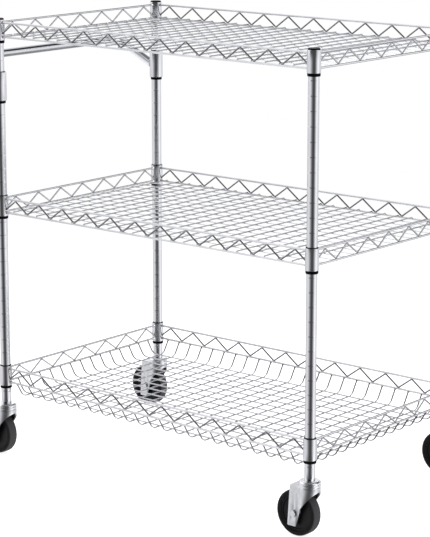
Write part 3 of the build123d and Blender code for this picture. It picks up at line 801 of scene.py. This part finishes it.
long_truss = truss_line(PEAKS_LONG, (RIGHT - LEFT) / 2)
short_truss = truss_line(PEAKS_SHORT, (REAR - FRONT) / 2)
truss_shape = bmesh.new()
for y in (FRONT, REAR):
    line = [Vector((MID_X + point.x, y, point.z)) for point in long_truss]
    draw_wire(truss_shape, line, TRUSS_RADIUS, SHORT, WELDED, THIN_SIDES)
for x in (LEFT, RIGHT):
    line = [Vector((x, point.x, point.z)) for point in short_truss]
    draw_wire(truss_shape, line, TRUSS_RADIUS, LONG, WELDED, THIN_SIDES)
truss_mesh = finished(truss_shape, "truss_wires", SHADED_TRUSS_CHROME)
for shelf, rise in RISES.items():
    fit(truss_mesh, f"{shelf}_truss_wires", "cart", (0, 0, rise))

# Flat shelf mesh: thin chromed wires about an inch and a quarter apart. The short ones lie over the low rim
# wires of the long sides, the long ones run under them, and every crossing is spot welded.
MESH_RADIUS = 1.25
SPOT_SINK = 0.15             # how far crossing wires are pressed into each other by the weld
CROSS_WIRES = 23
CROSS_END = 0.8              # share of a pitch between the last short wire and the collar
CROSS_SHIFT = 0.22           # share of a pitch that the short wires sit nearer to the handle
LONG_WIRES = 14
LONG_END = 0.71              # the same between the last long wire and the collar
CUT = ((0, 0.55), (0.25, 0.85), (0.6, 0.97), (1.0, 1.0))     # end that is cut off and free
MESH_SHADE = (0.70, 0.705, 0.715, 1)
MESH_LIGHT = (0.78, 0.78, 0.79, 1)
TOP_LONG_SHADE = (0.90, 0.905, 0.91, 1)
TOP_LONG_LIGHT = (0.96, 0.96, 0.97, 1)
CROSS_CHROME = wire_plate("cross_chrome_plate", MESH_SHADE, MESH_LIGHT)
MIDDLE_LONG = wire_plate("middle_long_plate", MESH_SHADE, MESH_LIGHT)
# painted sheen: the long wires of the top shelf are painted brighter than those of the middle one
SHEENED_TOP_LONG = wire_plate("top_long_painted_sheen_plate", TOP_LONG_SHADE, TOP_LONG_LIGHT)


def wire_row(count, end, span, shift):
    """Places of a row of wires about zero, between two collars that are this span apart."""
    pitch = (span - 2 * COLLAR_RADIUS) / (count - 1 + 2 * end)
    return [(index - (count - 1) / 2 - shift) * pitch for index in range(count)]


cross_places = [MID_X + place for place in wire_row(CROSS_WIRES, CROSS_END, RIGHT - LEFT, CROSS_SHIFT)]
long_places = wire_row(LONG_WIRES, LONG_END, REAR - FRONT, 0)
cross_z = LOW_RIM + RIM_RADIUS + MESH_RADIUS - SPOT_SINK
long_z = cross_z - 2 * MESH_RADIUS + SPOT_SINK
flat_cross_shape = bmesh.new()
for x in cross_places:
    ends = [Vector((x, FRONT, cross_z)), Vector((x, REAR, cross_z))]
    draw_wire(flat_cross_shape, ends, MESH_RADIUS, LONG, CUT, THIN_SIDES)
flat_cross_mesh = finished(flat_cross_shape, "flat_cross_wires", CROSS_CHROME)
flat_long_shape = bmesh.new()
butt = RIM_RADIUS - WELD_SINK
for y in long_places:
    ends = [Vector((LEFT + butt, y, long_z)), Vector((RIGHT - butt, y, long_z))]
    draw_wire(flat_long_shape, ends, MESH_RADIUS, SHORT, WELDED, THIN_SIDES)
flat_long_mesh = finished(flat_long_shape, "flat_long_wires", SHEENED_TOP_LONG)
middle_long_mesh = flat_long_mesh.copy()
middle_long_mesh.materials[0] = MIDDLE_LONG
for shelf, long_mesh in (("middle_shelf", middle_long_mesh), ("top_shelf", flat_long_mesh)):
    fit(flat_cross_mesh, f"{shelf}_cross_wires", "cart", (0, 0, RISES[shelf]))
    fit(long_mesh, f"{shelf}_long_wires", "cart", (0, 0, RISES[shelf]))

# Basket mesh: the same thin wires, hung from the low rim wires of the bottom shelf. They lean in on all
# four sides and bend into the basket floor, the long wires over the short ones.
BASKET_SLOPE = math.radians(31)
BASKET_BEND = 16.0
BASKET_BEND_STEPS = 8
WALL_START = 2.0             # above the floor, where the wires bend up into the walls and the painted shade begins
WALL_FULL = 8.0
WALL_PAINTED_SHADE = (0.22, 0.22, 0.23, 1)
BASKET_CROSS_SHADE = (0.68, 0.685, 0.70, 1)
BASKET_CROSS_LIGHT = (0.76, 0.76, 0.78, 1)
# painted shade: the long wires of the basket are painted darker than its short ones, though the wire is the
# same
BASKET_LONG_SHADE = (0.48, 0.485, 0.50, 1)
BASKET_LONG_LIGHT = (0.56, 0.56, 0.58, 1)
DULLER = {"smooth": 0.05, "rough": 0.12, "depth": 0.008}
BASKET_CROSS = wire_plate("basket_cross_plate", BASKET_CROSS_SHADE, BASKET_CROSS_LIGHT, **DULLER)
SHADED_BASKET_LONG = wire_plate("basket_long_painted_shade_plate", BASKET_LONG_SHADE, BASKET_LONG_LIGHT, **DULLER)


def hung_line(half_span, floor_z):
    """One basket wire about zero, as distance along the wire's side and height."""
    lean = (LOW_RIM - floor_z) * math.tan(BASKET_SLOPE)
    hang = LOW_RIM - RIM_RADIUS + WELD_SINK
    hang_lean = (LOW_RIM - hang) * math.tan(BASKET_SLOPE)
    corners = [
        Vector((-half_span + hang_lean, 0, hang)),
        Vector((-half_span + lean, 0, floor_z)),
        Vector((half_span - lean, 0, floor_z)),
        Vector((half_span - hang_lean, 0, hang)),
    ]
    return rounded([(corner, BASKET_BEND) for corner in corners], False, BASKET_BEND_STEPS)


cross_floor = node_box("bottom_basket_cross_wires")[0].z + MESH_RADIUS
long_floor = cross_floor + 2 * MESH_RADIUS - SPOT_SINK
# painted shade: the upright ends of the wires are painted darker than the floor
for finish, floor_z in ((BASKET_CROSS, cross_floor), (SHADED_BASKET_LONG, long_floor)):
    toned(finish, "Object", "Z", (floor_z + WALL_START) * MM, (floor_z + WALL_FULL) * MM, WALL_PAINTED_SHADE)
basket_cross_shape = bmesh.new()
for x in cross_places:
    line = [Vector((x, point.x, point.z)) for point in hung_line(REAR, cross_floor)]
    draw_wire(basket_cross_shape, line, MESH_RADIUS, LONG, WELDED, THIN_SIDES)
basket_cross_mesh = finished(basket_cross_shape, "basket_cross_wires", BASKET_CROSS)
basket_long_shape = bmesh.new()
for y in long_places:
    line = [Vector((MID_X + point.x, y, point.z)) for point in hung_line(RIGHT - MID_X, long_floor)]
    draw_wire(basket_long_shape, line, MESH_RADIUS, SHORT, WELDED, THIN_SIDES)
basket_long_mesh = finished(basket_long_shape, "basket_long_wires", SHADED_BASKET_LONG)
fit(basket_cross_mesh, "bottom_basket_cross_wires", "cart")
fit(basket_long_mesh, "bottom_basket_long_wires", "cart")

# Handle sleeves and collars: taller ones of the same kind, on the two left posts between the middle shelf
# and the top one. The plastic sleeve grips a groove, and the chromed collar on it carries the handle.
HANDLE_COLLAR_RADIUS = 13.0
HANDLE_BEAD = 29.8
LEFT_POSTS = [POSTS["front_left"], POSTS["rear_left"]]
handle_sleeve_low, handle_sleeve_high = node_box("handle_sleeves")
handle_collar_low, handle_collar_high = node_box("handle_collars")
handle_sleeve_height = handle_sleeve_high.z - handle_sleeve_low.z
handle_sleeves = sleeve_mesh("handle_sleeves", LEFT_POSTS, handle_sleeve_height, HANDLE_BEAD)
fit(handle_sleeves, "handle_sleeves", "cart", (0, 0, handle_sleeve_low.z))
handle_collar_height = handle_collar_high.z - handle_collar_low.z
handle_collars = collar_mesh("handle_collars", LEFT_POSTS, HANDLE_COLLAR_RADIUS, handle_collar_height)
fit(handle_collars, "handle_collars", "cart", (0, 0, handle_collar_low.z))

# Push handle: one chromed tube bent into a wide U, which slopes up and away from the cart. Both ends are
# coped to the handle collars and welded all round.
HANDLE_RADIUS = 8.0
HANDLE_BEND = 34.0
HANDLE_BEND_STEPS = 16
HANDLE_ARM_LOW = 20.5        # arm above the collar's lower end, at the post
HANDLE_SIDES = 40
COPED = ((0, 1.0), (0.1, 1.0))     # end that meets its collar without swelling
WELD_BEAD = 1.5
BEAD_SIDES = 10
bar_low, bar_high = node_box("handle_bar")
bar_x = bar_low.x + HANDLE_RADIUS
bar_z = bar_high.z - HANDLE_RADIUS
arm_z = handle_collar_low.z + HANDLE_ARM_LOW
arm_way = Vector((LEFT - bar_x, 0, arm_z - bar_z)).normalized()
handle_corners = [
    Vector((LEFT, FRONT, arm_z)),
    Vector((bar_x, FRONT, bar_z)),
    Vector((bar_x, REAR, bar_z)),
    Vector((LEFT, REAR, arm_z)),
]
handle_line = rounded([(corner, HANDLE_BEND) for corner in handle_corners], False, HANDLE_BEND_STEPS)
handle_up = arm_way.cross(SHORT).normalized()
seat_reach = HANDLE_COLLAR_RADIUS - WELD_SINK
for end in (0, -1):
    handle_line[end] = handle_line[end] - arm_way * seat_reach / abs(arm_way.x)
handle_shape = bmesh.new()
draw_wire(handle_shape, handle_line, HANDLE_RADIUS, handle_up, COPED, HANDLE_SIDES)


def weld_seam(shape, post):
    """Bead laid round an arm of the handle, where the tube meets its collar."""
    seam = []
    for step in range(HANDLE_SIDES):
        angle = math.tau * step / HANDLE_SIDES
        out_y = HANDLE_RADIUS * math.cos(angle)
        lift = handle_up * HANDLE_RADIUS * math.sin(angle)
        depth = math.sqrt(HANDLE_COLLAR_RADIUS**2 - out_y**2)
        along = (depth + lift.x) / abs(arm_way.x)
        seam.append(Vector((post.x, post.y + out_y, arm_z)) + lift - arm_way * along)
    centre = sum(seam, Vector()) / len(seam)
    sections = []
    for place, point in enumerate(seam):
        way = (seam[(place + 1) % len(seam)] - seam[place - 1]).normalized()
        out = (point - centre).normalized()
        beside = way.cross(out).normalized()
        section = []
        for side in range(BEAD_SIDES):
            angle = math.tau * side / BEAD_SIDES
            spoke = out * math.cos(angle) + beside * math.sin(angle)
            section.append(point + spoke * WELD_BEAD)
        sections.append(section)
    skin(shape, sections, True)


for post in LEFT_POSTS:
    weld_seam(handle_shape, post)
HANDLE_CHROME = metal(
    "handle_chrome_plate", CHROME_SHADE, CHROME_LIGHT,
    patch=60, smooth=0.07, rough=0.15, grain=1.4, depth=0.01,
)
fit(finished(handle_shape, "handle_bar", HANDLE_CHROME), "handle_bar", "cart")

# Post caps: discs moulded in black plastic, a little wider than the post and slightly crowned. A plug under
# each of them is pushed into the open top of its post.
CAP_RADIUS = 10.2
CAP_HEIGHT = 1.5
CAP_CROWN = 0.4
CAP_BROW = 2.0               # width of the steeper rim of the crown
CAP_BROW_ROUND = 3
CAP_EDGE_ROUND = 0.8
CAP_FOOT_ROUND = 0.3
CAP_PLUG_LENGTH = 14.0
CAP_PLUG_ROUND = 0.8
cap_outline = outline(
    (0, CAP_HEIGHT, 0),
    (CAP_RADIUS - CAP_BROW, CAP_HEIGHT - CAP_CROWN / 4, CAP_BROW_ROUND),
    (CAP_RADIUS, CAP_HEIGHT - CAP_CROWN, CAP_EDGE_ROUND),
    (CAP_RADIUS, 0, CAP_FOOT_ROUND),
    (POST_BORE - PLUG_PLAY, 0, 0),
    (POST_BORE - PLUG_PLAY, -CAP_PLUG_LENGTH, CAP_PLUG_ROUND),
    (0, -CAP_PLUG_LENGTH, 0),
)
cap_shape = bmesh.new()
for foot in POSTS.values():
    turn(cap_shape, cap_outline, Matrix.Translation((foot.x, foot.y, 0)))
cap_mesh = finished(cap_shape, "post_caps", BLACK_PLASTIC)
fit(cap_mesh, "post_caps", "cart", (0, 0, post_high.z))

# Studio: a plain white surround, and what the chrome mirrors in its place: six rings of pale and dark panels
# about the cart, one above the other from under the floor to the ceiling, with their levels listed.
WHITE = (1, 1, 1, 1)
PANEL_TINT = (0.965, 0.97, 1.0, 1.0)
PANEL_GAIN = 1.4             # brightness of a panel at level one
# rings of panels from the floor up: azimuth in degrees, from the front towards +X, and level there
NADIR = ((-180, 0.25), (180, 0.25))
LOW_RING = (
    (-180, 0.2), (-150, 0.3), (-120, 1), (-60, 1), (-32, 0.05),
    (80, 0.05), (100, 1.3), (124, 1.3), (140, 0.2), (180, 0.2),
)
LOW_WALL = (
    (-180, 0.6), (-160, 0.6), (-145, 0.1), (-130, 0.1), (-115, 0.55), (-30, 0.65), (10, 0.15),
    (30, 0.05), (50, 0.05), (70, 0.2), (90, 0.65), (112, 0.9), (140, 0.65), (180, 0.6),
)
HIGH_WALL = (
    (-180, 0.65), (-140, 0.95), (-115, 0.8), (-45, 0.8), (-22, 0.05),
    (65, 0.05), (105, 0.7), (140, 0.75), (180, 0.65),
)
CEILING = (
    (-180, 0.3), (-165, 0.5), (-112, 1), (-60, 1), (-28, 0.6), (-6, 0),
    (65, 0), (88, 1.4), (118, 1.4), (132, 0.05), (165, 0), (180, 0.3),
)
ZENITH = ((-180, 0.15), (180, 0.15))
# each ring with the heights, in degrees, between which it takes over from the ring below
RINGS = ((LOW_RING, -68, -54), (LOW_WALL, -36, -19), (HIGH_WALL, -7, 3), (CEILING, 18, 26), (ZENITH, 50, 60))

world = bpy.data.worlds.new("studio")
bpy.context.scene.world = world
world.use_nodes = True
studio = world.node_tree.nodes
tie = world.node_tree.links.new
studio.clear()


def reckon(operation, *values):
    """Arithmetic node of the studio, whose inputs are numbers or other nodes' outputs."""
    sum_node = studio.new("ShaderNodeMath")
    sum_node.operation = operation
    for socket, value in zip(sum_node.inputs, values):
        if isinstance(value, (int, float)):
            socket.default_value = value
        else:
            tie(value, socket)
    return sum_node.outputs["Value"]


def panels(bearing, stops):
    """Level of a ring of panels at a bearing, which runs from zero to one round the room."""
    levels = studio.new("ShaderNodeValToRGB")
    marks = levels.color_ramp.elements
    while len(marks) < len(stops):
        marks.new(0.5)
    for mark, (azimuth, level) in zip(marks, stops):
        mark.position = (azimuth + 180) / 360
        mark.color = (level, level, level, 1)
    tie(bearing, levels.inputs["Fac"])
    return levels.outputs["Color"]


def blend(below, above, height, start, full):
    """Passes from one level to another between two heights."""
    share = studio.new("ShaderNodeMapRange")
    share.interpolation_type = "SMOOTHSTEP"
    share.inputs["From Min"].default_value = math.radians(start)
    share.inputs["From Max"].default_value = math.radians(full)
    tie(height, share.inputs["Value"])
    mixed = studio.new("ShaderNodeMix")
    mixed.data_type = "FLOAT"
    tie(share.outputs["Result"], mixed.inputs["Factor"])
    tie(below, mixed.inputs["A"])
    tie(above, mixed.inputs["B"])
    return mixed.outputs["Result"]


gaze = studio.new("ShaderNodeTexCoord")
apart = studio.new("ShaderNodeSeparateXYZ")
tie(gaze.outputs["Generated"], apart.inputs["Vector"])
turned = reckon("ARCTAN2", apart.outputs["X"], reckon("MULTIPLY", apart.outputs["Y"], -1.0))
bearing = reckon("ADD", reckon("DIVIDE", turned, math.tau), 0.5)
height = reckon("ARCSINE", apart.outputs["Z"])
brightness = panels(bearing, NADIR)
for ring, start, full in RINGS:
    brightness = blend(brightness, panels(bearing, ring), height, start, full)
room = studio.new("ShaderNodeBackground")
room.inputs["Color"].default_value = PANEL_TINT
tie(reckon("MULTIPLY", brightness, PANEL_GAIN), room.inputs["Strength"])
surround = studio.new("ShaderNodeBackground")
surround.inputs["Color"].default_value = WHITE
ray = studio.new("ShaderNodeLightPath")
seen = studio.new("ShaderNodeMixShader")
tie(ray.outputs["Is Camera Ray"], seen.inputs["Fac"])
tie(room.outputs["Background"], seen.inputs[1])
tie(surround.outputs["Background"], seen.inputs[2])
studio_light = studio.new("ShaderNodeOutputWorld")
tie(seen.outputs["Shader"], studio_light.inputs["Surface"])

# Floor: a plain white disc that fades out into the surround. It glows enough to stay as white as the
# surround, and the chrome mirrors the rings of panels in its place.
FLOOR_RADIUS = 2.6           # sizes of the studio are in metres
FLOOR_FADE = 1.4
FLOOR_SEGMENTS = 96
FLOOR_GREY = (0.5, 0.5, 0.5, 1)
FLOOR_ROUGH = 0.9
FLOOR_GLOW = 0.86
floor_shape = bmesh.new()
bmesh.ops.create_circle(floor_shape, cap_ends=True, segments=FLOOR_SEGMENTS, radius=FLOOR_RADIUS / MM)
FLOOR_WHITE = bpy.data.materials.new("white_floor")
FLOOR_WHITE.use_nodes = True
paint = FLOOR_WHITE.node_tree.nodes
brush = FLOOR_WHITE.node_tree.links.new
floor_shader = paint["Principled BSDF"]
floor_shader.inputs["Base Color"].default_value = FLOOR_GREY
floor_shader.inputs["Roughness"].default_value = FLOOR_ROUGH
floor_shader.inputs["Emission Color"].default_value = WHITE
floor_shader.inputs["Emission Strength"].default_value = FLOOR_GLOW
spot = paint.new("ShaderNodeTexCoord")
span = paint.new("ShaderNodeVectorMath")
span.operation = "LENGTH"
brush(spot.outputs["Object"], span.inputs[0])
fade = paint.new("ShaderNodeMapRange")
fade.interpolation_type = "SMOOTHSTEP"
fade.inputs["From Min"].default_value = FLOOR_RADIUS - FLOOR_FADE
fade.inputs["From Max"].default_value = FLOOR_RADIUS
fade.inputs["To Min"].default_value = 1.0
fade.inputs["To Max"].default_value = 0.0
brush(span.outputs["Value"], fade.inputs["Value"])
brush(fade.outputs["Result"], floor_shader.inputs["Alpha"])
floor = bpy.data.objects.new("floor", finished(floor_shape, "floor", FLOOR_WHITE))
bpy.context.scene.collection.objects.link(floor)
floor.visible_glossy = False

# Lamp: one wide, soft lamp high over the cart, which shapes the tyres and the dark plastic. The chrome
# doesn't mirror it.
LAMP_HEIGHT = 3.0
LAMP_SIZE = 4.0
LAMP_POWER = 90
lamp_data = bpy.data.lights.new("overhead_lamp", "AREA")
lamp_data.shape = "DISK"
lamp_data.size = LAMP_SIZE
lamp_data.energy = LAMP_POWER
lamp = bpy.data.objects.new("overhead_lamp", lamp_data)
lamp.location = (0, 0, LAMP_HEIGHT)
lamp.visible_glossy = False
bpy.context.scene.collection.objects.link(lamp)

# Camera: a long lens, above the cart and off its right front corner. Its place and lens come from the four
# posts and the levels of the shelves in the photo.
CAMERA_AZIMUTH = math.radians(39.96)      # from the front towards +X
CAMERA_ELEVATION = math.radians(12.64)
CAMERA_PLACE = (2.5052, -2.9685, 1.2462)
LENS = 142.3
SENSOR_WIDTH = 36.0
camera_data = bpy.data.cameras.new("camera")
camera_data.sensor_width = SENSOR_WIDTH
camera_data.lens = LENS
camera = bpy.data.objects.new("camera", camera_data)
camera.location = CAMERA_PLACE
camera.rotation_euler = (math.pi / 2 - CAMERA_ELEVATION, 0, CAMERA_AZIMUTH)
bpy.context.scene.collection.objects.link(camera)
bpy.context.scene.camera = camera
bpy.context.scene.view_settings.view_transform = "Standard"
